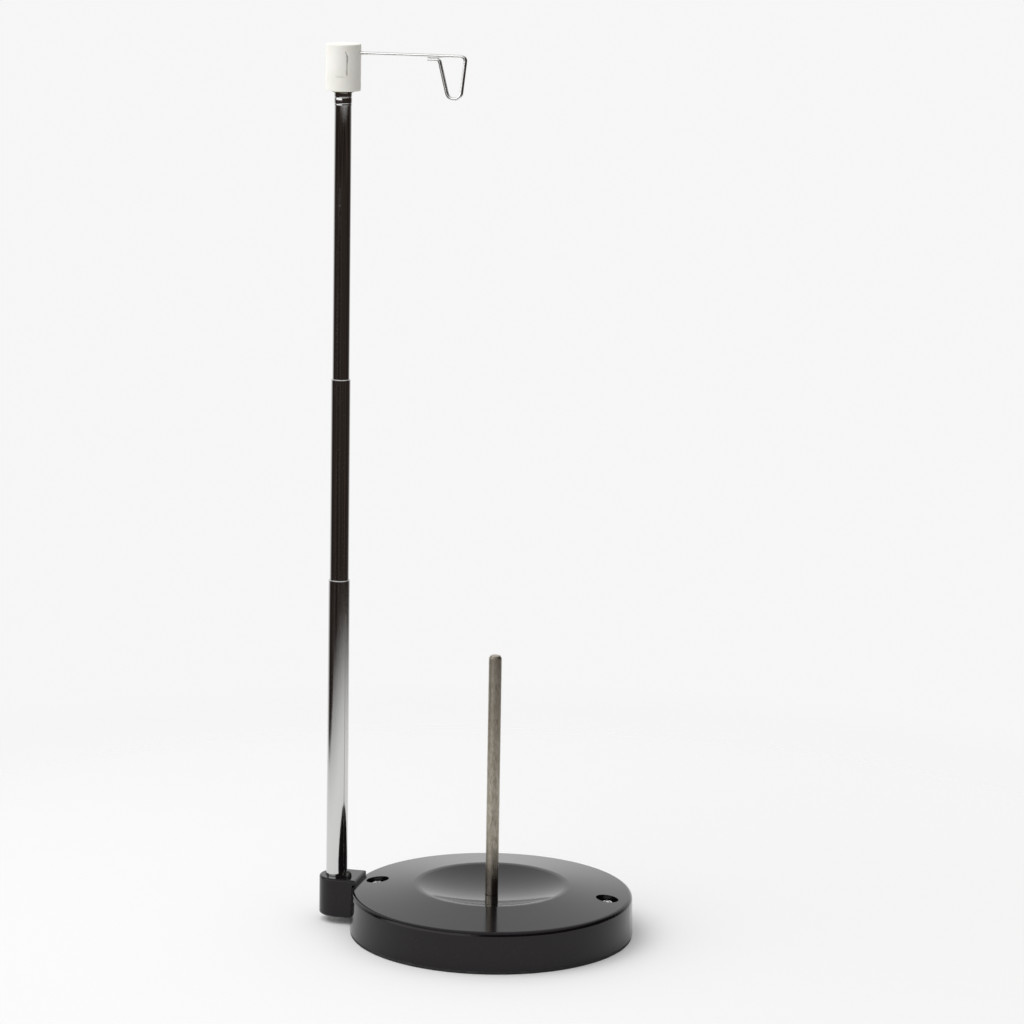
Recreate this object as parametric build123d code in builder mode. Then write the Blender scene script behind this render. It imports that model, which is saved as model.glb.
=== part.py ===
from build123d import *

import math
import os

# Stand for one cone of thread: weighted round base with a dish, a spindle, and a three-section telescopic
# mast beside the base that carries a cap with a wire thread guide.
# Millimetres. Origin on the table under the spindle's axis, +Z up, +X from the mast towards the spindle.

os.makedirs("parts", exist_ok=True)

# ---- base: overall ----
base_diameter = 132.0  # at the foot of the side wall
side_draft = 0.5  # how far the side wall leans in at the rim
rim_height = 19.3  # where the crowned top meets the side wall, before rounding
rim_round = 2.0
dish_rim_radius = 35.0
dish_rim_height = 23.1  # where crown and dish meet, before rounding
dish_lip_round = 7.0
dish_floor_height = 18.2
cover_thickness = 2.5
wall_thickness = 2.5

# ---- base: stack under the cover ----
pad_thickness = 1.5
pad_inset = 0.3
plate_thickness = 1.5
plate_clearance = 0.2
weight_thickness = 8.5
weight_inset = 2.7  # weight's edge to the cover's wall

# ---- screws that hold the cover ----
cover_screw_inset = 11.0  # from the base's edge
cover_screw_shank = 4.0
cover_screw_head = 7.0
cover_screw_head_height = 2.4
cover_screw_round = 0.9
cover_screw_grip = 6.5  # thread in the weight
cover_screw_floor = 2.5  # cover left under the head, on the bracket's tongue
counterbore_diameter = 10.5
counterbore_round = 0.3
boss_wall = 2.35
cross_slot_width = 1.0
cross_slot_length = 4.2
cross_slot_depth = 1.4

# ---- screws that hold the bottom plate ----
plate_screw_count = 3
plate_screw_radius = 40.0
plate_screw_start = 30.0
plate_screw_shank = 3.0
plate_screw_head = 5.6
plate_screw_grip = 5.5
plate_screw_slot_width = 0.7
plate_screw_slot_length = 2.9
plate_screw_slot_depth = 1.0
tap_runout = 1.0  # tapped hole deeper than its screw

# ---- spindle ----
spindle_diameter = 6.0
spindle_top = 132.2
spindle_neck = 5.6  # diameter where it passes through the cover
spindle_neck_rise = 0.5  # the neck ends this far above the dish's floor
spindle_chamfer_height = 1.2
spindle_chamfer_width = 0.7
spindle_stud = 5.0
spindle_stud_chamfer = 0.4
spindle_nut_flats = 8.0
spindle_nut_height = 4.0
spindle_washer_diameter = 10.0
spindle_washer_thickness = 1.0
lock_washer_diameter = 9.2
lock_washer_thickness = 1.2
lock_washer_gap = 1.0
nut_pocket_diameter = 14.0
nut_pocket_depth = 6.5
spindle_boss_diameter = 14.0
spindle_hole_chamfer = 0.4

# ---- bracket beside the base ----
mast_standoff = 8.9  # from the base's edge to the mast's axis
bracket_bottom = 3.3
bracket_top = 21.7
bracket_half_width = 9.6
bracket_nose_offset = 1.5  # nose centre, from the mast's axis towards the base
bracket_lap = 2.7  # over the base's rim
bracket_round = 0.9
saddle_clearance = 0.1
tongue_width = 13.0
tongue_thickness = 2.2
tongue_clearance = 0.1
mast_socket_web = 3.0
mast_socket_chamfer = 0.5

# ---- screws of the mast's foot ----
foot_screw_shank = 4.0
foot_screw_head = 7.0
foot_screw_head_height = 2.4
foot_screw_round = 0.8
foot_screw_grip = 8.0
foot_washer_diameter = 8.4
foot_washer_thickness = 0.8
foot_recess_diameter = 9.0
foot_recess_depth = 3.4
lock_screw_gap = 0.2  # its head to the lower tube
lock_screw_angle = -20.0
lock_screw_shank = 2.0
lock_screw_length = 6.0
lock_screw_head = 3.2
lock_screw_head_height = 3.2
lock_screw_round = 0.4
lock_screw_slot_width = 0.6
lock_screw_slot_depth = 1.1
lock_screw_slot_angle = 40.0

# ---- mast tubes ----
lower_diameter = 10.0
tube_wall = 0.3
bush_space = 0.2  # radial, between one tube and the next
lower_top = 163.3
middle_shown = 94.0  # middle tube seen above the lower one
upper_shown = 131.4  # upper tube seen above the middle one
middle_length = 145.0
lip_height = 1.4
lip_round = 0.35
slide_clearance = 0.05  # lip to the tube that slides in it
bush_clearance = 0.02
bush_length = 12.0
bush_slit = 1.0
bush_end_play = 0.1
tube_flange_height = 0.8
tube_bead_height = 0.7
stop_gap = 0.5
end_plug_length = 10.0
plug_chamfer = 0.5
plug_clearance = 0.02

# ---- top of the upper tube ----
collar_round = 0.12  # how far the top zone of the upper tube stands out
collar_height = 6.0
crimp_depths = (2.4, 5.5)  # below the tube's top
crimp_width = 0.9
crimp_depth = 0.27
tube_flare = 0.75
tip_flange_height = 0.6
tip_flange_diameter = 9.8
tip_plug_length = 13.0
tip_stud = 6.0
tip_stud_length = 11.0

# ---- cap and thread guide ----
cap_diameter = 16.0
cap_height = 21.2
cap_round = 0.6
cap_slot_width = 0.6
cap_slot_depth = 0.8
cap_slot_height = 9.0
cap_slot_bottom = 7.4  # above the cap's bottom
cap_slot_angle = -63.0
cap_nick_height = 0.5
cap_nick_depth = 0.3
cap_nick_drop = 0.9  # below the slot
cap_nick_angles = (-99.0, -69.0)
wire_diameter = 1.8
wire_clearance = 0.02
arm_height = 17.2  # above the cap's bottom
arm_reach = 56.9  # mast axis to the outer leg of the eye
arm_root = 1.5  # the wire's inner end, from the mast's axis
eye_depth = 19.2
eye_top_width = 12.3
eye_bottom_width = 5.8
eye_bottom_shift = 2.2  # bottom of the outer leg, from its top towards the mast
eye_corner_round = 2.0
eye_bottom_round = 2.7
eye_heel_round = 1.4
stub_length = 5.4
stub_drop = 2.15  # below the arm

# ---- clearances, radial ----
hole_clearance = 0.05
loose_clearance = 0.15
thread_clearance = 0.03

# ---- levels and radii worked out from the sizes ----
base_radius = base_diameter / 2
rim_radius = base_radius - side_draft
inner_radius = rim_radius - wall_thickness
cover_screw_radius = base_radius - cover_screw_inset
plate_top = pad_thickness + plate_thickness
weight_top = plate_top + weight_thickness
tongue_top = weight_top + tongue_thickness
screw_seat = tongue_top + cover_screw_floor
plate_screw_head_height = (plate_screw_head - plate_screw_shank) / 2
mast_x = -base_radius - mast_standoff
mast_seat = bracket_bottom + foot_recess_depth + mast_socket_web
lower_radius = lower_diameter / 2
lower_bore = lower_radius - tube_wall
middle_radius = lower_bore - bush_space
middle_bore = middle_radius - tube_wall
upper_radius = middle_bore - bush_space
upper_bore = upper_radius - tube_wall
middle_top = lower_top + middle_shown
upper_top = middle_top + upper_shown
cap_bottom = upper_top + tip_flange_height
end_fitting = tube_flange_height + bush_length + 2 * bush_end_play + tube_bead_height
middle_bottom = middle_top - middle_length
upper_bottom = middle_top - lip_height - stop_gap - end_fitting


def crown_height(radius):
    """Height of the conical crown at this distance from the axis, before rounding."""
    slope = (dish_rim_height - rim_height) / (rim_radius - dish_rim_radius)
    return rim_height + (rim_radius - radius) * slope


def round_base(rim, foot, drop, floor_level, bore):
    """Solid of the base's own outline: crown and dish lowered by drop, side wall from radius foot to radius rim."""
    with BuildPart() as body:
        with BuildSketch(Plane.XZ):
            with BuildLine():
                floor_point = (0, dish_floor_height - drop)
                rim_point = (dish_rim_radius, dish_rim_height - drop)
                dish = TangentArc(floor_point, rim_point, tangent=(1, 0))
                Polyline(
                    dish @ 1,
                    (rim, crown_height(rim) - drop),
                    (foot, floor_level),
                    (0, floor_level),
                    floor_point,
                )
            make_face()
            with Locations((0, floor_level)):
                Rectangle(2 * bore, 2 * base_radius, mode=Mode.SUBTRACT)
        revolve(axis=Axis.Z)
        lip_edges = body.edges().filter_by(GeomType.CIRCLE).filter_by(
            lambda edge: abs(edge.radius - dish_rim_radius) < 0.01
        )
        fillet(lip_edges, radius=dish_lip_round)
    return body.part


def export(part, name):
    part.label = name
    export_step(part, f"parts/{name}.step")


# ================= base =================

spindle_hole = spindle_neck / 2 + hole_clearance
cover_outline = round_base(rim_radius, base_radius, 0, pad_thickness, spindle_hole)
cavity_outline = round_base(inner_radius, inner_radius, cover_thickness, pad_thickness, spindle_hole)
bracket_saddle = round_base(
    rim_radius + saddle_clearance, base_radius + saddle_clearance, -saddle_clearance, pad_thickness, spindle_hole
)
cover_bosses = (
    (0, weight_top, spindle_boss_diameter / 2),
    (-cover_screw_radius, tongue_top, counterbore_diameter / 2 + boss_wall),
    (cover_screw_radius, weight_top, counterbore_diameter / 2 + boss_wall),
)

with BuildPart() as cover_cavity:
    add(cavity_outline)
    # bosses are left standing: one round the spindle, one round each screw
    for boss_x, boss_bottom, boss_radius in cover_bosses:
        with BuildSketch(Plane.XY.offset(boss_bottom)):
            with Locations((boss_x, 0)):
                Circle(boss_radius)
        extrude(amount=dish_rim_height, mode=Mode.SUBTRACT)

with BuildPart() as base_cover:
    add(cover_outline)
    fillet(
        base_cover.edges().filter_by(GeomType.CIRCLE).filter_by(
            lambda edge: abs(edge.radius - rim_radius) < 0.01
        ).sort_by(Axis.Z)[-1],
        radius=rim_round,
    )
    add(cover_cavity.part, mode=Mode.SUBTRACT)
    # counterbores and screw holes
    with BuildSketch(Plane.XY.offset(screw_seat)):
        with Locations((-cover_screw_radius, 0), (cover_screw_radius, 0)):
            Circle(counterbore_diameter / 2)
    extrude(amount=dish_rim_height, mode=Mode.SUBTRACT)
    with BuildSketch(Plane.XY.offset(screw_seat)):
        with Locations((-cover_screw_radius, 0), (cover_screw_radius, 0)):
            Circle(cover_screw_shank / 2 + hole_clearance)
    extrude(amount=-dish_rim_height, mode=Mode.SUBTRACT)
    # chamfer of the spindle's hole in the dish
    spindle_hole_edge = base_cover.edges().filter_by(GeomType.CIRCLE).filter_by(
        lambda edge: abs(edge.radius - spindle_hole) < 0.01
    ).sort_by(Axis.Z)[-1]
    chamfer(spindle_hole_edge, length=spindle_hole_chamfer)
    # soft edge of each counterbore
    fillet(
        base_cover.edges().filter_by(
            lambda edge: abs(edge.bounding_box().size.Y - counterbore_diameter) < 0.01
            and edge.bounding_box().min.Z > screw_seat + cover_screw_head_height
        ),
        radius=counterbore_round,
    )
    # slot in the wall for the bracket's tongue
    with BuildSketch(Plane.XY.offset(weight_top - tongue_clearance)):
        with Locations((-base_radius, 0)):
            Rectangle(3 * wall_thickness, tongue_width + 2 * tongue_clearance)
    extrude(amount=tongue_thickness + 2 * tongue_clearance, mode=Mode.SUBTRACT)
export(base_cover.part, "base_cover")

with BuildPart() as base_weight:
    with BuildSketch(Plane.XY.offset(plate_top)):
        Circle(inner_radius - weight_inset)
        Circle(spindle_stud / 2 + loose_clearance, mode=Mode.SUBTRACT)
    extrude(amount=weight_thickness)
    with BuildSketch(Plane.XY.offset(plate_top)):
        Circle(nut_pocket_diameter / 2)
    extrude(amount=nut_pocket_depth, mode=Mode.SUBTRACT)
    # tapped holes for the cover's screws, from above
    with BuildSketch(Plane.XY.offset(weight_top)):
        with Locations((-cover_screw_radius, 0), (cover_screw_radius, 0)):
            Circle(cover_screw_shank / 2 + thread_clearance)
    extrude(amount=-cover_screw_grip - tap_runout, mode=Mode.SUBTRACT)
    # tapped holes for the plate's screws, from below
    with BuildSketch(Plane.XY.offset(plate_top)):
        with PolarLocations(plate_screw_radius, plate_screw_count, start_angle=plate_screw_start):
            Circle(plate_screw_shank / 2 + thread_clearance)
    extrude(amount=plate_screw_grip + tap_runout, mode=Mode.SUBTRACT)
export(base_weight.part, "base_weight")

with BuildPart() as bottom_plate:
    with BuildSketch(Plane.XY.offset(pad_thickness)):
        Circle(inner_radius - plate_clearance)
    extrude(amount=plate_thickness)
    # countersunk holes, open downwards
    with BuildSketch(Plane.XY.offset(pad_thickness)):
        with PolarLocations(plate_screw_radius, plate_screw_count, start_angle=plate_screw_start):
            Circle(plate_screw_head / 2 + hole_clearance)
    extrude(amount=plate_screw_head_height, taper=45, mode=Mode.SUBTRACT)
    with BuildSketch(Plane.XY.offset(pad_thickness)):
        with PolarLocations(plate_screw_radius, plate_screw_count, start_angle=plate_screw_start):
            Circle(plate_screw_shank / 2 + hole_clearance)
    extrude(amount=plate_thickness, mode=Mode.SUBTRACT)
export(bottom_plate.part, "bottom_plate")

with BuildPart() as plate_screw:
    with BuildSketch(Plane.XZ):
        with BuildLine():
            Polyline(
                (0, pad_thickness),
                (plate_screw_head / 2, pad_thickness),
                (plate_screw_shank / 2, pad_thickness + plate_screw_head_height),
                (plate_screw_shank / 2, plate_top + plate_screw_grip),
                (0, plate_top + plate_screw_grip),
                close=True,
            )
        make_face()
    revolve(axis=Axis.Z)
    with BuildSketch(Plane.XY.offset(pad_thickness)):
        Rectangle(plate_screw_slot_length, plate_screw_slot_width)
        Rectangle(plate_screw_slot_width, plate_screw_slot_length)
    extrude(amount=plate_screw_slot_depth, mode=Mode.SUBTRACT)
with BuildPart() as plate_screw_set:
    with PolarLocations(plate_screw_radius, plate_screw_count, start_angle=plate_screw_start):
        add(plate_screw.part)
export(plate_screw_set.part, "plate_screws")

with BuildPart() as base_pad:
    with BuildSketch(Plane.XY):
        Circle(base_radius - pad_inset)
    extrude(amount=pad_thickness)
export(base_pad.part, "base_pad")

with BuildPart() as cover_screw:
    with BuildSketch(Plane.XY.offset(screw_seat)):
        Circle(cover_screw_head / 2)
    extrude(amount=cover_screw_head_height)
    fillet(cover_screw.edges().group_by(Axis.Z)[-1], radius=cover_screw_round)
    with BuildSketch(Plane.XY.offset(screw_seat + cover_screw_head_height)):
        Rectangle(cross_slot_length, cross_slot_width)
        Rectangle(cross_slot_width, cross_slot_length)
    extrude(amount=-cross_slot_depth, mode=Mode.SUBTRACT)
    with BuildSketch(Plane.XY.offset(weight_top - cover_screw_grip)):
        Circle(cover_screw_shank / 2)
    extrude(amount=screw_seat - weight_top + cover_screw_grip)
with BuildPart() as cover_screw_set:
    with Locations((-cover_screw_radius, 0), (cover_screw_radius, 0)):
        add(cover_screw.part)
export(cover_screw_set.part, "cover_screws")

# ================= spindle =================

washer_top = plate_top + nut_pocket_depth
lock_washer_top = washer_top - spindle_washer_thickness
nut_top = lock_washer_top - lock_washer_thickness
nut_bottom = nut_top - spindle_nut_height
stud_radius = spindle_stud / 2

with BuildPart() as spindle:
    with BuildSketch(Plane.XZ):
        with BuildLine():
            Polyline(
                (0, nut_bottom),
                (stud_radius - spindle_stud_chamfer, nut_bottom),
                (stud_radius, nut_bottom + spindle_stud_chamfer),
                (stud_radius, weight_top),
                (spindle_neck / 2, weight_top),
                (spindle_neck / 2, dish_floor_height + spindle_neck_rise),
                (spindle_diameter / 2, dish_floor_height + spindle_neck_rise),
                (spindle_diameter / 2, spindle_top - spindle_chamfer_height),
                (spindle_diameter / 2 - spindle_chamfer_width, spindle_top),
                (0, spindle_top),
                close=True,
            )
        make_face()
    revolve(axis=Axis.Z)
export(spindle.part, "spindle")

with BuildPart() as spindle_washer:
    with BuildSketch(Plane.XY.offset(lock_washer_top)):
        Circle(spindle_washer_diameter / 2)
        Circle(stud_radius + loose_clearance, mode=Mode.SUBTRACT)
    extrude(amount=spindle_washer_thickness)
export(spindle_washer.part, "spindle_washer")

with BuildPart() as spindle_lock_washer:
    with BuildSketch(Plane.XY.offset(nut_top)):
        Circle(lock_washer_diameter / 2)
        Circle(stud_radius + loose_clearance, mode=Mode.SUBTRACT)
        with Locations((lock_washer_diameter / 2, 0)):
            Rectangle(lock_washer_diameter / 2, lock_washer_gap, mode=Mode.SUBTRACT)
    extrude(amount=lock_washer_thickness)
export(spindle_lock_washer.part, "spindle_lock_washer")

with BuildPart() as spindle_nut:
    with BuildSketch(Plane.XY.offset(nut_bottom)):
        RegularPolygon(spindle_nut_flats / 2, 6, major_radius=False)
        Circle(stud_radius + thread_clearance, mode=Mode.SUBTRACT)
    extrude(amount=spindle_nut_height)
export(spindle_nut.part, "spindle_nut")

# ================= bracket =================

nose_x = mast_x + bracket_nose_offset
lap_x = -base_radius + bracket_lap
lock_screw_distance = lower_radius + lock_screw_gap + lock_screw_head / 2
lock_screw_x = mast_x + lock_screw_distance * math.cos(math.radians(lock_screw_angle))
lock_screw_y = lock_screw_distance * math.sin(math.radians(lock_screw_angle))

with BuildPart() as mast_bracket:
    with BuildSketch(Plane.XY.offset(bracket_bottom)):
        with Locations((nose_x, 0)):
            Circle(bracket_half_width)
        with Locations(((nose_x + lap_x) / 2, 0)):
            Rectangle(lap_x - nose_x, 2 * bracket_half_width)
    extrude(amount=bracket_top - bracket_bottom)
    fillet(mast_bracket.edges().group_by(Axis.Z)[-1], radius=bracket_round)
    fillet(mast_bracket.edges().group_by(Axis.Z)[0].sort_by(Axis.X)[:-1], radius=bracket_round)
    # saddle against the side wall and the rim
    add(bracket_saddle, mode=Mode.SUBTRACT)
    # tongue under the left cover screw
    with BuildSketch(Plane.XY.offset(weight_top)):
        with Locations((-cover_screw_radius, 0)):
            Circle(tongue_width / 2)
        tongue_root = -base_radius - wall_thickness
        with Locations(((tongue_root - cover_screw_radius) / 2, 0)):
            Rectangle(-cover_screw_radius - tongue_root, tongue_width)
    extrude(amount=tongue_thickness)
    with BuildSketch(Plane.XY.offset(weight_top)):
        with Locations((-cover_screw_radius, 0)):
            Circle(cover_screw_shank / 2 + loose_clearance)
    extrude(amount=tongue_thickness, mode=Mode.SUBTRACT)
    # socket of the mast, from above
    with BuildSketch(Plane.XY.offset(mast_seat)):
        with Locations((mast_x, 0)):
            Circle(lower_radius + plug_clearance)
    extrude(amount=bracket_top, mode=Mode.SUBTRACT)
    with BuildSketch(Plane.XY.offset(bracket_top - mast_socket_chamfer)):
        with Locations((mast_x, 0)):
            Circle(lower_radius + plug_clearance)
    extrude(amount=2 * mast_socket_chamfer, taper=-45, mode=Mode.SUBTRACT)
    # recess and hole of the foot screw, from below
    with BuildSketch(Plane.XY.offset(bracket_bottom)):
        with Locations((mast_x, 0)):
            Circle(foot_recess_diameter / 2)
    extrude(amount=foot_recess_depth, mode=Mode.SUBTRACT)
    with BuildSketch(Plane.XY.offset(bracket_bottom)):
        with Locations((mast_x, 0)):
            Circle(foot_screw_shank / 2 + loose_clearance)
    extrude(amount=mast_seat, mode=Mode.SUBTRACT)
    # tapped hole of the lock screw
    with BuildSketch(Plane.XY.offset(bracket_top)):
        with Locations((lock_screw_x, lock_screw_y)):
            Circle(lock_screw_shank / 2 + thread_clearance)
    extrude(amount=-lock_screw_length - tap_runout, mode=Mode.SUBTRACT)
export(mast_bracket.part, "mast_bracket")

with BuildPart() as mast_lock_screw:
    with BuildSketch(Plane.XY.offset(bracket_top)):
        with Locations((lock_screw_x, lock_screw_y)):
            Circle(lock_screw_head / 2)
    extrude(amount=lock_screw_head_height)
    fillet(mast_lock_screw.edges().group_by(Axis.Z)[-1], radius=lock_screw_round)
    with BuildSketch(Plane.XY.offset(bracket_top + lock_screw_head_height)):
        with Locations((lock_screw_x, lock_screw_y)):
            Rectangle(2 * lock_screw_head, lock_screw_slot_width, rotation=lock_screw_slot_angle)
    extrude(amount=-lock_screw_slot_depth, mode=Mode.SUBTRACT)
    with BuildSketch(Plane.XY.offset(bracket_top)):
        with Locations((lock_screw_x, lock_screw_y)):
            Circle(lock_screw_shank / 2)
    extrude(amount=-lock_screw_length)
export(mast_lock_screw.part, "mast_lock_screw")

foot_head_top = bracket_bottom + foot_recess_depth - foot_washer_thickness

with BuildPart() as mast_fixing_washer:
    with BuildSketch(Plane.XY.offset(foot_head_top)):
        with Locations((mast_x, 0)):
            Circle(foot_washer_diameter / 2)
            Circle(foot_screw_shank / 2 + loose_clearance, mode=Mode.SUBTRACT)
    extrude(amount=foot_washer_thickness)
export(mast_fixing_washer.part, "mast_fixing_washer")

with BuildPart() as mast_fixing_screw:
    with BuildSketch(Plane.XY.offset(foot_head_top - foot_screw_head_height)):
        with Locations((mast_x, 0)):
            Circle(foot_screw_head / 2)
    extrude(amount=foot_screw_head_height)
    fillet(mast_fixing_screw.edges().group_by(Axis.Z)[0], radius=foot_screw_round)
    with BuildSketch(Plane.XY.offset(foot_head_top - foot_screw_head_height)):
        with Locations((mast_x, 0)):
            Rectangle(cross_slot_length, cross_slot_width)
            Rectangle(cross_slot_width, cross_slot_length)
    extrude(amount=cross_slot_depth, mode=Mode.SUBTRACT)
    with BuildSketch(Plane.XY.offset(foot_head_top)):
        with Locations((mast_x, 0)):
            Circle(foot_screw_shank / 2)
    extrude(amount=mast_seat + foot_screw_grip - foot_head_top)
export(mast_fixing_screw.part, "mast_fixing_screw")

# ================= mast =================
# Each round piece of the mast is turned about the mast's own axis.
mast_axis = Axis((mast_x, 0, 0), (0, 0, 1))
mast_plane = Plane(origin=(mast_x, 0, 0), x_dir=(1, 0, 0), z_dir=(0, -1, 0))


def tube_with_lip(radius, bore, bottom, top, lip_bore):
    """Outline of a tube whose top is rolled in to guide the next tube."""
    Polyline(
        (bore, bottom),
        (radius, bottom),
        (radius, top - lip_round),
        (radius - lip_round, top),
        (lip_bore, top),
        (lip_bore, top - lip_height + (bore - lip_bore)),
        (bore, top - lip_height),
        close=True,
    )


with BuildPart() as lower_tube:
    with BuildSketch(mast_plane):
        with BuildLine():
            tube_with_lip(lower_radius, lower_bore, mast_seat, lower_top, middle_radius + slide_clearance)
        make_face()
    revolve(axis=mast_axis)
export(lower_tube.part, "lower_tube")

with BuildPart() as lower_end_plug:
    with BuildSketch(Plane.XY.offset(mast_seat)):
        with Locations((mast_x, 0)):
            Circle(lower_bore - plug_clearance)
            Circle(foot_screw_shank / 2 + thread_clearance, mode=Mode.SUBTRACT)
    extrude(amount=end_plug_length)
    chamfer(lower_end_plug.edges().group_by(Axis.Z)[-1].sort_by(SortBy.RADIUS)[-1], length=plug_chamfer)
export(lower_end_plug.part, "lower_end_plug")


def end_rings(radius, bottom, outer_bore):
    """Flange at a tube's bottom end, and the bead that keeps the friction bush against it."""
    bead_bottom = bottom + tube_flange_height + bush_length + 2 * bush_end_play
    with BuildPart() as rings:
        for ring_bottom, ring_height in ((bottom, tube_flange_height), (bead_bottom, tube_bead_height)):
            with BuildSketch(Plane.XY.offset(ring_bottom)):
                with Locations((mast_x, 0)):
                    Circle(outer_bore - 2 * bush_clearance)
                    Circle(radius - tube_wall / 2, mode=Mode.SUBTRACT)
            extrude(amount=ring_height)
    return rings.part


def split_bush(bore_radius, outer_radius, bottom):
    """Slit friction sleeve that sits round a tube's bottom end."""
    with BuildPart() as bush:
        with BuildSketch(Plane.XY.offset(bottom)):
            with Locations((mast_x, 0)):
                Circle(outer_radius)
                Circle(bore_radius, mode=Mode.SUBTRACT)
            with Locations((mast_x - outer_radius, 0)):
                Rectangle(outer_radius, bush_slit, mode=Mode.SUBTRACT)
        extrude(amount=bush_length)
    return bush.part


middle_rings = end_rings(middle_radius, middle_bottom, lower_bore)
upper_rings = end_rings(upper_radius, upper_bottom, middle_bore)

with BuildPart() as middle_tube:
    with BuildSketch(mast_plane):
        with BuildLine():
            tube_with_lip(middle_radius, middle_bore, middle_bottom, middle_top, upper_radius + slide_clearance)
        make_face()
    revolve(axis=mast_axis)
    add(middle_rings)
export(middle_tube.part, "middle_tube")

middle_spring_bush = split_bush(
    middle_radius + bush_clearance,
    lower_bore - bush_clearance,
    middle_bottom + tube_flange_height + bush_end_play,
)
export(middle_spring_bush, "middle_spring_bush")

with BuildPart() as upper_tube:
    collar_radius = upper_radius + collar_round
    with BuildSketch(mast_plane):
        with BuildLine():
            Polyline(
                (upper_bore, upper_bottom),
                (upper_radius, upper_bottom),
                (upper_radius, upper_top - collar_height),
                (collar_radius, upper_top - collar_height + 2 * collar_round),
                (collar_radius, upper_top - tube_flare),
                (upper_radius + tube_flare, upper_top),
                (upper_bore, upper_top),
                close=True,
            )
        make_face()
    revolve(axis=mast_axis)
    # crimped grooves that hold the tip plug
    for crimp_below_top in crimp_depths:
        with BuildSketch(mast_plane):
            with BuildLine():
                groove_height = upper_top - crimp_below_top
                Polyline(
                    (collar_radius, groove_height - crimp_width / 2),
                    (collar_radius - crimp_depth, groove_height),
                    (collar_radius, groove_height + crimp_width / 2),
                    close=True,
                )
            make_face()
        revolve(axis=mast_axis, mode=Mode.SUBTRACT)
    add(upper_rings)
export(upper_tube.part, "upper_tube")

upper_spring_bush = split_bush(
    upper_radius + bush_clearance,
    middle_bore - bush_clearance,
    upper_bottom + tube_flange_height + bush_end_play,
)
export(upper_spring_bush, "upper_spring_bush")

with BuildPart() as tip_plug:
    plug_radius = upper_bore - plug_clearance
    stud_top = cap_bottom + tip_stud_length
    with BuildSketch(mast_plane):
        with BuildLine():
            Polyline(
                (0, upper_top - tip_plug_length),
                (plug_radius - plug_chamfer, upper_top - tip_plug_length),
                (plug_radius, upper_top - tip_plug_length + plug_chamfer),
                (plug_radius, upper_top),
                (tip_flange_diameter / 2, upper_top),
                (tip_flange_diameter / 2, cap_bottom),
                (tip_stud / 2, cap_bottom),
                (tip_stud / 2, stud_top - plug_chamfer),
                (tip_stud / 2 - plug_chamfer, stud_top),
                (0, stud_top),
                close=True,
            )
        make_face()
    revolve(axis=mast_axis)
export(tip_plug.part, "tip_plug")

# ================= cap and thread guide =================

cap_radius = cap_diameter / 2
arm_z = cap_bottom + arm_height

# centre line of the wire in the plane of mast and spindle, from its end in the cap to its free stub
outer_leg_x = arm_reach
outer_foot_x = outer_leg_x - eye_bottom_shift
inner_foot_x = outer_foot_x - eye_bottom_width
heel_x = outer_leg_x - eye_top_width
wire_points = (
    (arm_root, arm_z),
    (outer_leg_x, arm_z),
    (outer_foot_x, arm_z - eye_depth),
    (inner_foot_x, arm_z - eye_depth),
    (heel_x, arm_z - stub_drop),
    (heel_x - stub_length, arm_z - stub_drop),
)
wire_rounds = (eye_corner_round, eye_bottom_round, eye_bottom_round, eye_heel_round)

with BuildPart() as guide_cap:
    with BuildSketch(Plane.XY.offset(cap_bottom)):
        with Locations((mast_x, 0)):
            Circle(cap_radius)
    extrude(amount=cap_height)
    fillet(guide_cap.edges().group_by(Axis.Z)[-1], radius=cap_round)
    fillet(guide_cap.edges().group_by(Axis.Z)[0], radius=cap_round / 2)
    # tapped hole for the tip plug's stud
    with BuildSketch(Plane.XY.offset(cap_bottom)):
        with Locations((mast_x, 0)):
            Circle(tip_stud / 2 + thread_clearance)
    extrude(amount=tip_stud_length + tap_runout, mode=Mode.SUBTRACT)
    # radial hole for the wire
    with BuildSketch(Plane(origin=(mast_x + arm_root, 0, arm_z), z_dir=(1, 0, 0))):
        Circle(wire_diameter / 2 + wire_clearance)
    extrude(amount=cap_diameter, mode=Mode.SUBTRACT)
    # upright slot in the front of the cap
    slot_plane = Plane(origin=(mast_x, 0, cap_bottom + cap_slot_bottom)).rotated((0, 0, cap_slot_angle))
    with BuildSketch(slot_plane):
        with Locations((cap_radius, 0)):
            Rectangle(2 * cap_slot_depth, cap_slot_width)
    extrude(amount=cap_slot_height, mode=Mode.SUBTRACT)
    # short shallow nick under the slot
    first, last = cap_nick_angles
    nick_plane = Plane(origin=(mast_x, 0, cap_bottom + cap_slot_bottom - cap_nick_drop))
    with BuildSketch(nick_plane):
        with BuildLine():
            inner = CenterArc((0, 0), cap_radius - cap_nick_depth, first, last - first)
            outer = CenterArc((0, 0), cap_radius + cap_nick_depth, first, last - first)
            Line(inner @ 0, outer @ 0)
            Line(inner @ 1, outer @ 1)
        make_face()
    extrude(amount=cap_nick_height, mode=Mode.SUBTRACT)
export(guide_cap.part, "guide_cap")

with BuildPart() as thread_guide:
    with BuildLine(mast_plane) as wire_line:
        FilletPolyline(*wire_points, radius=wire_rounds)
    with BuildSketch(Plane(origin=wire_line.line @ 0, z_dir=wire_line.line % 0)):
        Circle(wire_diameter / 2)
    sweep(path=wire_line.line)
export(thread_guide.part, "thread_guide")
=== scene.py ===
import math

import bpy
from mathutils import Matrix, Vector


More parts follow.
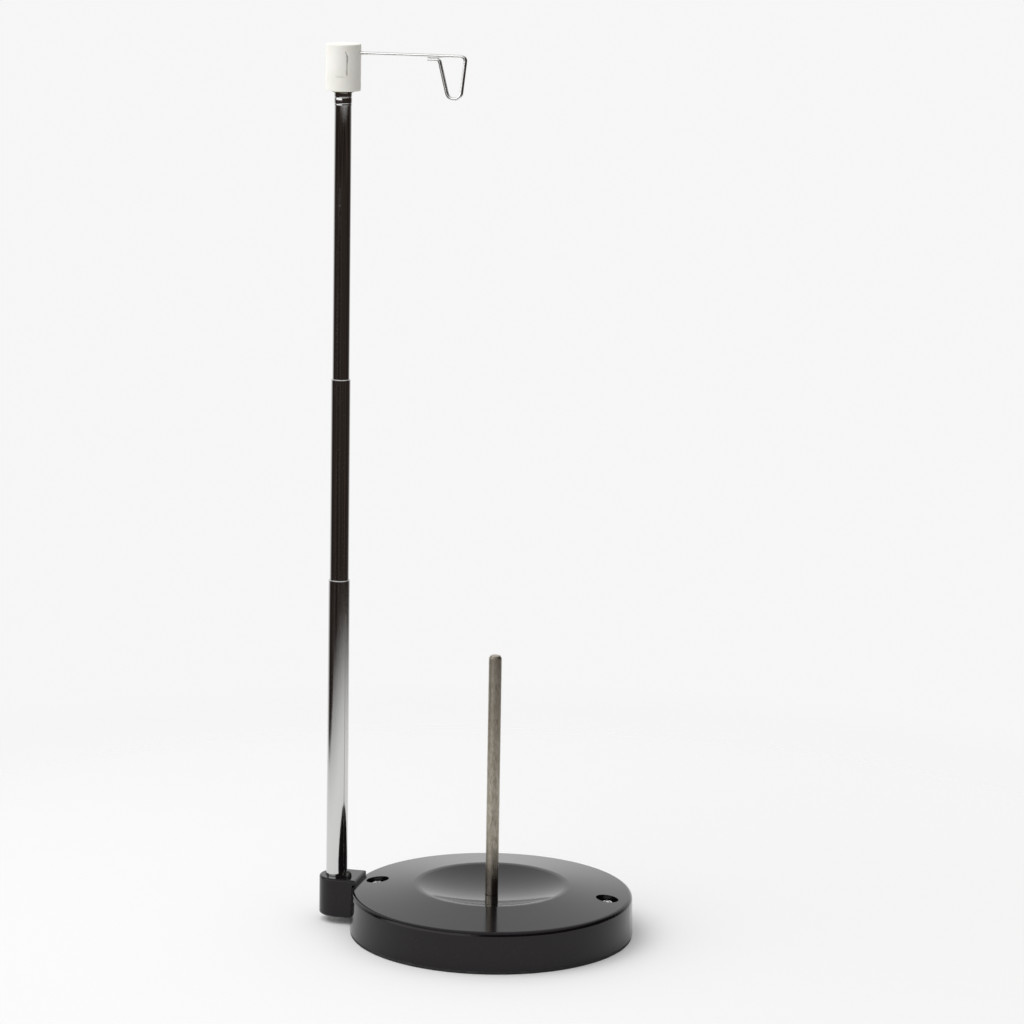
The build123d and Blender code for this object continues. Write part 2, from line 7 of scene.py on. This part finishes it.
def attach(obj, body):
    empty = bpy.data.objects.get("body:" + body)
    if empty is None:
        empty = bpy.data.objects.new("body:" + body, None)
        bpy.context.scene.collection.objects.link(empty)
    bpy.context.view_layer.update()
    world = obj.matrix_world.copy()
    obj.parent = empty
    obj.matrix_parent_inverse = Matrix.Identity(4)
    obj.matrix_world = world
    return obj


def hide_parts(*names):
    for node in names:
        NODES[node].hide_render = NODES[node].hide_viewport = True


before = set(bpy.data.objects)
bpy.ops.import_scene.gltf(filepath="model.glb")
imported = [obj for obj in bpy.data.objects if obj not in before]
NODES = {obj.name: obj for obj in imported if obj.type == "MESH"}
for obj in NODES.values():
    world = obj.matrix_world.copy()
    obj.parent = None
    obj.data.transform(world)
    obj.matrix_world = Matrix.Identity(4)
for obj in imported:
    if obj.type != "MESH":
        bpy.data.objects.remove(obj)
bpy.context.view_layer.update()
MM = 0.001
MAST_X = -74.9 * MM
CAP_RADIUS = 8 * MM
CAP_SLOT_ANGLE = math.radians(-63)

# ------------------------------------------------------------------ camera

CAMERA_PLACE = Vector((0.4086, -1.7294, 0.5511))
CAMERA_AZIMUTH = math.radians(13.083)
CAMERA_PITCH = math.radians(-11.186)
CAMERA_ROLL = math.radians(0.961)
CAMERA_LENS = 139.3


def make_camera():
    data = bpy.data.cameras.new("camera")
    data.lens = CAMERA_LENS
    data.sensor_width = 36
    data.clip_start = 0.01
    data.clip_end = 50
    camera = bpy.data.objects.new("camera", data)
    bpy.context.collection.objects.link(camera)
    forward = Vector((
        -math.sin(CAMERA_AZIMUTH) * math.cos(CAMERA_PITCH),
        math.cos(CAMERA_AZIMUTH) * math.cos(CAMERA_PITCH),
        math.sin(CAMERA_PITCH),
    ))
    turn = forward.to_track_quat("-Z", "Y").to_matrix()
    turn = turn @ Matrix.Rotation(CAMERA_ROLL, 3, "Z")
    camera.matrix_world = Matrix.Translation(CAMERA_PLACE) @ turn.to_4x4()
    bpy.context.scene.camera = camera


make_camera()

# ------------------------------------------------------------------ node helpers


class Nodes:
    """Short names for making and joining shader nodes in one tree."""

    def __init__(self, tree):
        self.tree = tree
        tree.nodes.clear()

    def new(self, kind, **values):
        node = self.tree.nodes.new(kind)
        for name, value in values.items():
            setattr(node, name, value)
        return node

    def put(self, socket, value):
        if isinstance(value, bpy.types.NodeSocket):
            self.tree.links.new(value, socket)
        elif value is not None:
            socket.default_value = value

    def math(self, operation, a, b=None, clamp=False):
        node = self.new("ShaderNodeMath", operation=operation, use_clamp=clamp)
        self.put(node.inputs[0], a)
        self.put(node.inputs[1], b)
        return node.outputs[0]

    def vector(self, operation, a, b):
        node = self.new("ShaderNodeVectorMath", operation=operation)
        self.put(node.inputs[0], a)
        self.put(node.inputs[1], b)
        return node.outputs[0]

    def smooth(self, value, low, high, to_low=0.0, to_high=1.0):
        node = self.new("ShaderNodeMapRange", interpolation_type="SMOOTHSTEP")
        self.put(node.inputs[0], value)
        self.put(node.inputs[1], low)
        self.put(node.inputs[2], high)
        self.put(node.inputs[3], to_low)
        self.put(node.inputs[4], to_high)
        return node.outputs[0]

    def mix(self, factor, a, b):
        node = self.new("ShaderNodeMix", data_type="RGBA")
        self.put(node.inputs[0], factor)
        self.put(node.inputs[6], a)
        self.put(node.inputs[7], b)
        return node.outputs[2]

    def place(self, scale):
        """Object coordinates, scaled."""
        coords = self.new("ShaderNodeTexCoord")
        mapping = self.new("ShaderNodeMapping")
        self.put(mapping.inputs[0], coords.outputs["Object"])
        mapping.inputs["Scale"].default_value = scale
        return mapping.outputs[0]

    def noise(self, scale, detail=2.0, stretch=(1, 1, 1), roughness=0.5, distortion=0.0):
        node = self.new("ShaderNodeTexNoise")
        self.put(node.inputs["Vector"], self.place(stretch))
        node.inputs["Scale"].default_value = scale
        node.inputs["Detail"].default_value = detail
        node.inputs["Roughness"].default_value = roughness
        node.inputs["Distortion"].default_value = distortion
        return node.outputs[0]

    def bump(self, height, distance, strength):
        node = self.new("ShaderNodeBump")
        self.put(node.inputs["Height"], height)
        node.inputs["Distance"].default_value = distance
        node.inputs["Strength"].default_value = strength
        return node.outputs[0]


def rgb(r, g, b):
    return (r, g, b, 1.0)


def grey(v):
    return (v, v, v, 1.0)


# ------------------------------------------------------------------ materials


def start(name):
    """New material with one principled shader: the material, its nodes and the shader."""
    material = bpy.data.materials.new(name)
    material.use_nodes = True
    nodes = Nodes(material.node_tree)
    out = nodes.new("ShaderNodeOutputMaterial")
    shader = nodes.new("ShaderNodeBsdfPrincipled")
    nodes.put(out.inputs["Surface"], shader.outputs[0])
    return material, nodes, shader


def gloss_black(name):
    """Injection-moulded black, polished, with faint orange peel, dust and fine hairline scratches."""
    material, n, shader = start(name)
    peel = n.noise(260, 2)
    dust = n.smooth(n.noise(900, 3), 0.62, 0.78)
    smear = n.noise(28, 4, (1, 1, 3))
    scratch = n.smooth(n.noise(55, 3, (1, 30, 30), distortion=0.6), 0.66, 0.72)
    n.put(shader.inputs["Base Color"], n.mix(dust, rgb(0.0045, 0.0038, 0.0046), rgb(0.016, 0.015, 0.015)))
    rough = n.math("ADD", n.smooth(smear, 0.3, 0.75, 0.05, 0.12), n.math("MULTIPLY", scratch, 0.1))
    n.put(shader.inputs["Roughness"], n.math("ADD", rough, n.math("MULTIPLY", dust, 0.12)))
    shader.inputs["IOR"].default_value = 1.37
    shader.inputs["Specular Tint"].default_value = rgb(1.0, 0.95, 0.985)
    n.put(shader.inputs["Normal"], n.bump(peel, 0.00002, 0.35))
    return material


def chrome(name, tone=0.62, rough=0.05):
    """Chrome on drawn tube or wire: faint lengthwise lines, cloudy polish, a few dull spots."""
    material, n, shader = start(name)
    lines = n.noise(1400, 2, (1, 1, 0.012))
    cloud = n.noise(60, 3, (1, 1, 0.3))
    spots = n.smooth(n.noise(700, 2), 0.7, 0.8)
    color = n.mix(cloud, rgb(tone * 0.97, tone * 0.965, tone * 0.95), grey(tone * 1.04))
    n.put(shader.inputs["Base Color"], n.mix(n.math("MULTIPLY", spots, 0.35), color, rgb(0.3, 0.28, 0.26)))
    shader.inputs["Metallic"].default_value = 1.0
    polish = n.smooth(lines, 0.3, 0.7, rough, rough + 0.05)
    n.put(shader.inputs["Roughness"], n.math("ADD", polish, n.math("MULTIPLY", spots, 0.1)))
    n.put(shader.inputs["Normal"], n.bump(lines, 0.00001, 0.25))
    return material


def steel(name, tone, rough):
    """Spring steel strip: fine drawn lines, uneven dull film."""
    material, n, shader = start(name)
    lines = n.noise(900, 3, (1, 0.04, 1))
    film = n.noise(45, 4, (1, 1, 0.4))
    dark = tuple(0.72 * v for v in tone)
    light = tuple(min(1.0, 1.12 * v) for v in tone)
    n.put(shader.inputs["Base Color"], n.mix(n.smooth(film, 0.3, 0.7), rgb(*dark), rgb(*light)))
    shader.inputs["Metallic"].default_value = 1.0
    n.put(shader.inputs["Roughness"], n.smooth(lines, 0.25, 0.75, rough - 0.06, rough + 0.08))
    n.put(shader.inputs["Normal"], n.bump(lines, 0.00003, 0.3))
    return material


def aged_rod(name):
    """Cold-drawn steel rod, browned and mottled with age, with lengthwise streaks and handling marks."""
    material, n, shader = start(name)
    streaks = n.noise(1100, 4, (1, 1, 0.04))
    mottle = n.noise(1300, 5, (1, 1, 0.3), 0.6)
    patch = n.noise(55, 3, (1, 1, 0.4))
    worn = n.mix(n.smooth(mottle, 0.3, 0.7), rgb(0.29, 0.255, 0.2), rgb(0.46, 0.425, 0.365))
    brown = n.mix(n.smooth(patch, 0.4, 0.75, 0.0, 0.45), worn, rgb(0.24, 0.205, 0.155))
    n.put(shader.inputs["Base Color"], brown)
    shader.inputs["Metallic"].default_value = 1.0
    rough = n.math("ADD", n.smooth(streaks, 0.3, 0.7, 0.26, 0.36), n.smooth(mottle, 0.3, 0.6, 0.06, 0.0))
    n.put(shader.inputs["Roughness"], rough)
    n.put(shader.inputs["Normal"], n.bump(mottle, 0.00004, 0.35))
    return material


def zinc(name):
    """Bright zinc plating: crystalline grain under an uneven, slightly blue film."""
    material, n, shader = start(name)
    grain = n.noise(2200, 3)
    film = n.noise(300, 3)
    color = n.mix(n.smooth(film, 0.3, 0.7), rgb(0.62, 0.62, 0.6), rgb(0.83, 0.84, 0.86))
    n.put(shader.inputs["Base Color"], color)
    shader.inputs["Metallic"].default_value = 1.0
    n.put(shader.inputs["Roughness"], n.smooth(grain, 0.25, 0.75, 0.2, 0.38))
    n.put(shader.inputs["Normal"], n.bump(grain, 0.00002, 0.3))
    return material


def black_oxide(name):
    """Blackened steel with a fine grain."""
    material, n, shader = start(name)
    grain = n.noise(1800, 3)
    n.put(shader.inputs["Base Color"], n.mix(grain, rgb(0.03, 0.03, 0.032), rgb(0.1, 0.094, 0.09)))
    shader.inputs["Metallic"].default_value = 0.7
    n.put(shader.inputs["Roughness"], n.smooth(grain, 0.25, 0.75, 0.3, 0.48))
    n.put(shader.inputs["Normal"], n.bump(grain, 0.00002, 0.4))
    return material


def brass(name, tone=(0.56, 0.46, 0.22)):
    """Turned brass, dulled by handling."""
    material, n, shader = start(name)
    rings = n.noise(1200, 3, (0.05, 0.05, 1))
    tarnish = n.noise(90, 4)
    dark = tuple(0.5 * v for v in tone)
    n.put(shader.inputs["Base Color"], n.mix(n.smooth(tarnish, 0.35, 0.7), rgb(*tone), rgb(*dark)))
    shader.inputs["Metallic"].default_value = 1.0
    n.put(shader.inputs["Roughness"], n.smooth(rings, 0.25, 0.75, 0.24, 0.42))
    n.put(shader.inputs["Normal"], n.bump(rings, 0.00003, 0.4))
    return material


def cap_around(n, x, y):
    """Distance round the cap's side from its moulded slot."""
    turn = n.math("ARCTAN2", y, n.math("SUBTRACT", x, MAST_X))
    return n.math("MULTIPLY", n.math("SUBTRACT", turn, CAP_SLOT_ANGLE), CAP_RADIUS)


def cap_split_shade(n, around, z):
    """How much painted shade darkens the hairline split that wanders along the moulded slot."""
    low_bend = n.smooth(z, 0.3995, 0.4045, -0.0002, 0.0005)
    high_bend = n.smooth(z, 0.4042, 0.4072, 0.0, -0.0011)
    away = n.math("ABSOLUTE", n.math("SUBTRACT", around, n.math("ADD", low_bend, high_bend)))
    ragged = n.math("ADD", away, n.smooth(n.noise(900, 3), 0.3, 0.7, 0.0, 0.00012))
    line = n.math("MULTIPLY", n.smooth(ragged, 0.0001, 0.00026, 1.0, 0.0), n.smooth(z, 0.3968, 0.3976))
    line = n.math("MULTIPLY", line, n.smooth(z, 0.4068, 0.4078, 1.0, 0.0))
    shade_depth = n.math("ADD", n.smooth(z, 0.3975, 0.4, 0.9, 0.35), n.smooth(z, 0.4028, 0.4045, 0.0, 0.45))
    return n.math("MULTIPLY", line, shade_depth, clamp=True)


def cap_level_shade(n, around, z):
    """How much of a short level line of painted shade shows, below the split."""
    above = n.math("ABSOLUTE", n.math("SUBTRACT", z, 0.3959))
    aside = n.math("ABSOLUTE", n.math("ADD", around, 0.0032))
    return n.math("MULTIPLY", n.smooth(above, 0.0001, 0.0005, 0.2, 0.0), n.smooth(aside, 0.0008, 0.0024, 1.0, 0.0))


def cap_plastic(name):
    """Off-white moulded plastic: fine spark-eroded grain, faint yellow blotches, painted shade along a hairline
    split.
    """
    material, n, shader = start(name)
    grain = n.noise(1500, 2)
    blotch = n.noise(110, 3)
    coords = n.new("ShaderNodeTexCoord")
    parts = n.new("ShaderNodeSeparateXYZ")
    n.put(parts.inputs[0], coords.outputs["Object"])
    x, y, z = parts.outputs
    around = cap_around(n, x, y)
    clean = n.mix(n.smooth(blotch, 0.3, 0.75), rgb(0.9, 0.895, 0.85), rgb(0.86, 0.85, 0.79))
    # Painted shade: a dark line along the hairline split, where shade falls into the crack.
    split = n.mix(cap_split_shade(n, around, z), clean, rgb(0.09, 0.075, 0.06))
    # Painted shade: a short level darker line just below the split.
    n.put(shader.inputs["Base Color"], n.mix(cap_level_shade(n, around, z), split, rgb(0.4, 0.4, 0.38)))
    n.put(shader.inputs["Roughness"], n.smooth(grain, 0.3, 0.7, 0.42, 0.56))
    shader.inputs["IOR"].default_value = 1.49
    shader.inputs["Subsurface Weight"].default_value = 0.12
    shader.inputs["Subsurface Radius"].default_value = (0.0012, 0.001, 0.0007)
    shader.inputs["Subsurface Scale"].default_value = 1.0
    n.put(shader.inputs["Normal"], n.bump(grain, 0.00003, 0.35))
    return material


def cast_iron(name):
    """Rough cast iron with rusty patches."""
    material, n, shader = start(name)
    sand = n.noise(420, 5)
    rust = n.smooth(n.noise(60, 5), 0.58, 0.72)
    n.put(shader.inputs["Base Color"], n.mix(rust, rgb(0.09, 0.088, 0.085), rgb(0.16, 0.09, 0.05)))
    shader.inputs["Metallic"].default_value = 0.55
    n.put(shader.inputs["Roughness"], n.smooth(sand, 0.2, 0.8, 0.55, 0.8))
    n.put(shader.inputs["Normal"], n.bump(sand, 0.0002, 0.6))
    return material


def rubber(name):
    """Matt black rubber with dust on it."""
    material, n, shader = start(name)
    grain = n.noise(700, 4)
    dust = n.smooth(n.noise(120, 4), 0.5, 0.8)
    n.put(shader.inputs["Base Color"], n.mix(dust, rgb(0.012, 0.012, 0.012), rgb(0.04, 0.038, 0.035)))
    n.put(shader.inputs["Roughness"], n.smooth(grain, 0.2, 0.8, 0.6, 0.85))
    n.put(shader.inputs["Normal"], n.bump(grain, 0.00008, 0.6))
    return material


LOOKS = {
    "base_cover": gloss_black("cover_gloss_black"),
    "mast_bracket": gloss_black("bracket_gloss_black"),
    "base_weight": cast_iron("weight_cast_iron"),
    "bottom_plate": zinc("plate_zinc"),
    "plate_screws": zinc("plate_screw_zinc"),
    "base_pad": rubber("pad_rubber"),
    "cover_screws": zinc("cover_screw_zinc"),
    "spindle": aged_rod("spindle_aged_steel"),
    "spindle_washer": zinc("washer_zinc"),
    "spindle_lock_washer": steel("lock_washer_spring_steel", (0.3, 0.3, 0.31), 0.35),
    "spindle_nut": zinc("nut_zinc"),
    "mast_lock_screw": black_oxide("lock_screw_black_oxide"),
    "mast_fixing_washer": zinc("foot_washer_zinc"),
    "mast_fixing_screw": zinc("foot_screw_zinc"),
    "lower_tube": chrome("lower_tube_chrome"),
    "middle_tube": chrome("middle_tube_chrome"),
    "upper_tube": chrome("upper_tube_chrome"),
    "lower_end_plug": brass("end_plug_brass"),
    "middle_spring_bush": brass("middle_bush_bronze", (0.6, 0.42, 0.24)),
    "upper_spring_bush": brass("upper_bush_bronze", (0.6, 0.42, 0.24)),
    # The tip plug's brass is darkened to a dark olive: painted shade for the dark band under the cap's bottom
    # edge.
    "tip_plug": brass("tip_plug_brass_painted_shade", (0.3, 0.27, 0.1)),
    "guide_cap": cap_plastic("cap_off_white"),
    "thread_guide": chrome("guide_wire_chrome", 0.95, 0.22),
}

for node_name, look in LOOKS.items():
    node = NODES[node_name]
    node.data.materials.clear()
    node.data.materials.append(look)

# ------------------------------------------------------------------ refined pieces
# Their points are in millimetres.


def mesh_piece(name, points, faces, look, body, *nodes, sharp=32):
    """Mesh object from points in millimetres, riding on a body and standing for CAD nodes."""
    mesh = bpy.data.meshes.new(name)
    mesh.from_pydata([tuple(MM * v for v in point) for point in points], [], faces)
    mesh.shade_smooth()
    mesh.set_sharp_from_angle(angle=math.radians(sharp))
    mesh.materials.append(look)
    piece = bpy.data.objects.new(name, mesh)
    bpy.context.collection.objects.link(piece)
    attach(piece, body)
    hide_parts(*nodes)
    return piece


def turned(profile, centre, segments=144):
    """Points and faces of a closed profile of (radius, height) turned about an upright axis."""
    points = []
    faces = []
    for radius, height in profile:
        for k in range(segments):
            a = 2 * math.pi * k / segments
            points.append((centre[0] + radius * math.cos(a), centre[1] + radius * math.sin(a), height))
    count = len(profile)
    for i in range(count):
        j = (i + 1) % count
        for k in range(segments):
            m = (k + 1) % segments
            faces.append((i * segments + k, i * segments + m, j * segments + m, j * segments + k))
    return points, faces


def upper_tube_profile():
    """Upper tube: flange and bead for the bush at its foot, shallow rolled crimps and a lip at its top."""
    bore, outer, ring, collar, top = 3.7, 4.0, 4.16, 4.12, 388.7
    crimp_levels, crimp_half_depth, crimp_half_width = (383.4, 386.3), 0.075, 0.48
    profile = [(bore, 241.75), (bore + 0.05, 241.7)]
    profile += [(ring - 0.1, 241.7), (ring, 241.8), (ring, 242.4), (ring - 0.1, 242.5)]
    profile += [(outer, 242.5), (outer, 254.7)]
    profile += [(ring - 0.1, 254.72), (ring, 254.85), (ring, 255.25), (ring - 0.1, 255.38)]
    profile += [(outer, 255.4), (outer, 300), (outer, 345), (outer, 382.6)]
    profile += [(collar - 0.03, 382.75), (collar, 382.9)]
    for level in crimp_levels:
        for k in range(-8, 9):
            depth = crimp_half_depth * (1 + math.cos(math.pi * k / 8))
            profile.append((collar - depth, level + crimp_half_width * k / 8))
    profile += [(collar, 387.6), (collar + 0.04, 388.1), (collar + 0.16, 388.45), (collar + 0.2, 388.6)]
    profile += [(collar + 0.14, top), (bore + 0.1, top), (bore, top - 0.1)]
    return profile


def wire_path(corners, rounds, steps=16):
    """Corners of (x, z) with an arc of the given radius in place of each inner one."""
    path = [corners[0]]
    for before, corner, after, bend in zip(corners, corners[1:], corners[2:], rounds):
        corner = Vector(corner)
        way_in = (Vector(before) - corner).normalized()
        way_out = (Vector(after) - corner).normalized()
        half = way_in.angle(way_out) / 2
        middle = corner + (way_in + way_out).normalized() * (bend / math.sin(half))
        first = corner + way_in * (bend / math.tan(half)) - middle
        last = corner + way_out * (bend / math.tan(half)) - middle
        for k in range(steps + 1):
            spoke = first.slerp(last, k / steps).normalized() * bend
            path.append(tuple(middle + spoke))
    path.append(corners[-1])
    return path


def bent_wire(path, radius, segments=28):
    """Points and faces of a round wire along a path of (x, z) in the plane y = 0."""
    points = []
    faces = []
    for i, (x, z) in enumerate(path):
        ahead = path[min(i + 1, len(path) - 1)]
        behind = path[max(i - 1, 0)]
        along = (Vector(ahead) - Vector(behind)).normalized()
        for k in range(segments):
            a = 2 * math.pi * k / segments
            out = radius * math.cos(a)
            points.append((x - along.y * out, radius * math.sin(a), z + along.x * out))
    for i in range(len(path) - 1):
        for k in range(segments):
            m = (k + 1) % segments
            row = i * segments
            faces.append((row + k, row + segments + k, row + segments + m, row + m))
    faces.append(tuple(range(segments)))
    faces.append(tuple(range(len(points) - 1, len(points) - segments - 1, -1)))
    return points, faces


def make_wire():
    """Thread guide as one smoothly bent wire: arm, outer leg, full round foot, inner leg and free stub."""
    arm, foot, stub = 406.5, 387.3, 404.65
    corners = [(-73.4, arm), (-18.0, arm), (-20.2, foot), (-26.0, foot), (-30.3, stub), (-35.7, stub)]
    points, faces = bent_wire(wire_path(corners, rounds=(2.0, 3.4, 3.4, 1.4)), radius=0.9)
    mesh_piece("thread_guide_wire", points, faces, LOOKS["thread_guide"], "guide_head", "thread_guide")


make_wire()


def screw_head(centre, seat, foot, radius, height, shank, recess, turn):
    """Points and faces of a domed screw. recess(x, y) is the depth of the driver's recess there."""
    rings, segments = 34, 112
    points = [(centre[0], centre[1], seat + height - recess(0, 0))]
    faces = []
    for i in range(1, rings + 1):
        r = radius * math.sin(0.5 * math.pi * i / rings)
        dome = seat + height * max(0.0, 1 - (r / radius) ** 2.4) ** 0.5
        for k in range(segments):
            a = 2 * math.pi * k / segments
            level = max(seat, dome - recess(r * math.cos(a - turn), r * math.sin(a - turn)))
            points.append((centre[0] + r * math.cos(a), centre[1] + r * math.sin(a), level))
    for r, level in ((shank, seat), (shank, foot + 0.4), (shank - 0.4, foot)):
        for k in range(segments):
            a = 2 * math.pi * k / segments
            points.append((centre[0] + r * math.cos(a), centre[1] + r * math.sin(a), level))
    for i in range(rings + 3):
        for k in range(segments):
            m = (k + 1) % segments
            a, b = 1 + i * segments + k, 1 + i * segments + m
            if i == 0:
                faces.append((0, a, b))
            if i < rings + 2:
                faces.append((a, a + segments, b + segments, b))
    last = 1 + (rings + 2) * segments
    faces.append(tuple(last + k for k in reversed(range(segments))))
    return points, faces


def edge(value, limit):
    """1 inside the limit, 0 outside, with a short slope between them."""
    soft = 0.12
    return min(1.0, max(0.0, (limit + soft - abs(value)) / soft))


def cross(x, y):
    """Depth of a cross recess at a place on the head."""
    return 1.15 * max(edge(x, 0.42) * edge(y, 1.75), edge(y, 0.42) * edge(x, 1.75))


def slot(x, y):
    """Depth of a slot along x. It runs across the whole head."""
    return 0.7 * edge(y, 0.25)


def make_cover_screws():
    points = []
    faces = []
    for x, turn in ((-55, math.radians(20)), (55, math.radians(-32))):
        head_points, head_faces = screw_head(
            (x, 0), seat=16.2, foot=5.0, radius=3.5, height=3.5, shank=2.0, recess=cross, turn=turn
        )
        faces += [tuple(v + len(points) for v in face) for face in head_faces]
        points += head_points
    look = LOOKS["cover_screws"]
    mesh_piece("cover_screws_domed", points, faces, look, "base", "cover_screws", sharp=50)


def make_lock_screw():
    turn = math.radians(40)
    points, faces = screw_head(
        (-68.5, -2.32), seat=21.72, foot=15.7, radius=1.45, height=2.3, shank=1.0, recess=slot, turn=turn
    )
    look = LOOKS["mast_lock_screw"]
    mesh_piece("mast_lock_screw_domed", points, faces, look, "base", "mast_lock_screw", sharp=50)


def make_upper_tube():
    points, faces = turned(upper_tube_profile(), (MAST_X / MM, 0))
    mesh_piece("upper_tube_rolled", points, faces, LOOKS["upper_tube"], "guide_head", "upper_tube")


make_cover_screws()
make_lock_screw()
make_upper_tube()

# ------------------------------------------------------------------ floor, surroundings and lights

BACKDROP_WHITE = 0.925
FLOOR_WHITE = 0.86


def make_floor():
    """White sheet that fades out all round, so that its edge never shows against the white surroundings.

    Reflections see it end in a dark room, 0.2 to 0.66 m from the stand, and nearer on the left."""
    radius = 1.4
    mesh = bpy.data.meshes.new("floor")
    mesh.from_pydata(
        [(-radius, -radius, 0), (radius, -radius, 0), (radius, radius, 0), (-radius, radius, 0)],
        [],
        [(0, 1, 2, 3)],
    )
    floor = bpy.data.objects.new("floor", mesh)
    bpy.context.collection.objects.link(floor)
    floor.location.z = -0.00005
    material = bpy.data.materials.new("floor_paper")
    material.use_nodes = True
    n = Nodes(material.node_tree)
    out = n.new("ShaderNodeOutputMaterial")
    paper = n.new("ShaderNodeBsdfDiffuse")
    fibres = n.noise(300, 4)
    n.put(paper.inputs["Color"], n.mix(fibres, grey(FLOOR_WHITE * 0.99), grey(FLOOR_WHITE)))
    clear = n.new("ShaderNodeBsdfTransparent")
    coords = n.new("ShaderNodeTexCoord")
    parts = n.new("ShaderNodeSeparateXYZ")
    n.put(parts.inputs[0], coords.outputs["Object"])
    reach = n.new("ShaderNodeVectorMath", operation="LENGTH")
    n.put(reach.inputs[0], coords.outputs["Object"])
    seen = n.smooth(reach.outputs["Value"], 0.16, 0.5, 1.0, 0.0)
    near = n.smooth(reach.outputs["Value"], 0.2, 0.66, 1.0, 0.0)
    left = n.smooth(parts.outputs[0], -0.44, -0.34)
    rays = n.new("ShaderNodeLightPath")
    mixer = n.new("ShaderNodeMixShader")
    reflected = n.math("MULTIPLY", near, left)
    n.put(mixer.inputs[0], n.mix(rays.outputs["Is Camera Ray"], reflected, seen))
    n.put(mixer.inputs[1], clear.outputs[0])
    n.put(mixer.inputs[2], paper.outputs[0])
    n.put(out.inputs["Surface"], mixer.outputs[0])
    mesh.materials.append(material)


def make_world():
    """White where the camera looks, and a soft fill for matt surfaces, dimmer on the right.

    Reflections see a studio: white backdrop behind, window at the front left, pale ceiling, dark elsewhere."""
    world = bpy.data.worlds.new("studio")
    bpy.context.scene.world = world
    world.use_nodes = True
    n = Nodes(world.node_tree)
    out = n.new("ShaderNodeOutputWorld")
    coords = n.new("ShaderNodeTexCoord")
    parts = n.new("ShaderNodeSeparateXYZ")
    n.put(parts.inputs[0], coords.outputs["Generated"])
    x, y, z = parts.outputs
    level = n.math("SQRT", n.math("MAXIMUM", n.math("SUBTRACT", 1.0, n.math("MULTIPLY", z, z)), 0.0001))

    def towards(azimuth):
        """Cosine of the horizontal angle between the ray and an azimuth: 0 in front, 90 on the right."""
        a = math.radians(azimuth)
        along = n.math("ADD", n.math("MULTIPLY", x, math.sin(a)), n.math("MULTIPLY", y, -math.cos(a)))
        return n.math("DIVIDE", along, level)

    backdrop = n.math("MULTIPLY", n.smooth(towards(200), 0.35, 0.92), n.smooth(z, 0.7, 0.95, 1.0, 0.3))
    window = n.math("MULTIPLY", n.smooth(towards(-42), 0.64, 0.86), n.smooth(z, -0.08, -0.03))
    window = n.math("MULTIPLY", window, n.smooth(z, 0.5, 0.72, 1.0, 0.0))
    shapes = n.new("ShaderNodeTexNoise")
    n.put(shapes.inputs["Vector"], n.vector("MULTIPLY", coords.outputs["Generated"], (1, 1, 0.35)))
    shapes.inputs["Scale"].default_value = 4.5
    shapes.inputs["Detail"].default_value = 3
    gloom = n.mix(n.smooth(shapes.outputs[0], 0.35, 0.68), rgb(0.014, 0.01, 0.009), rgb(0.052, 0.04, 0.034))
    dark = n.mix(n.smooth(z, 0.5, 0.95), gloom, grey(0.75))
    room = n.mix(window, n.mix(backdrop, dark, grey(1.0)), grey(1.6))
    shade = n.math("MULTIPLY", n.smooth(towards(75), 0.1, 0.7), n.smooth(z, 0.25, 0.75, 1.0, 0.0))
    fill = n.mix(shade, grey(0.9), rgb(0.27, 0.255, 0.235))
    rays = n.new("ShaderNodeLightPath")
    light = n.new("ShaderNodeBackground")
    n.put(light.inputs["Color"], n.mix(rays.outputs["Is Diffuse Ray"], room, fill))
    seen = n.new("ShaderNodeBackground")
    seen.inputs["Color"].default_value = grey(BACKDROP_WHITE)
    mixer = n.new("ShaderNodeMixShader")
    n.put(mixer.inputs[0], rays.outputs["Is Camera Ray"])
    n.put(mixer.inputs[1], light.outputs[0])
    n.put(mixer.inputs[2], seen.outputs[0])
    n.put(out.inputs["Surface"], mixer.outputs[0])


def soft_box(name, azimuth, elevation, distance, side, power):
    """Square light aimed at the middle of the stand: azimuth 0 in front, 90 on the right.

    Reflections leave it out: they see the window instead."""
    data = bpy.data.lights.new(name, "AREA")
    data.shape = "RECTANGLE"
    data.size = side
    data.size_y = side
    data.energy = power
    light = bpy.data.objects.new(name, data)
    bpy.context.collection.objects.link(light)
    a, e = math.radians(azimuth), math.radians(elevation)
    back = Vector((math.sin(a) * math.cos(e), -math.cos(a) * math.cos(e), math.sin(e)))
    light.location = Vector((0, 0, 0.15)) + back * distance
    light.rotation_mode = "QUATERNION"
    light.rotation_quaternion = (-back).to_track_quat("-Z", "Y")
    light.visible_glossy = False


make_floor()
make_world()
soft_box("key", azimuth=-62, elevation=60, distance=1.6, side=1.3, power=10)
bpy.context.scene.view_settings.view_transform = "Standard"
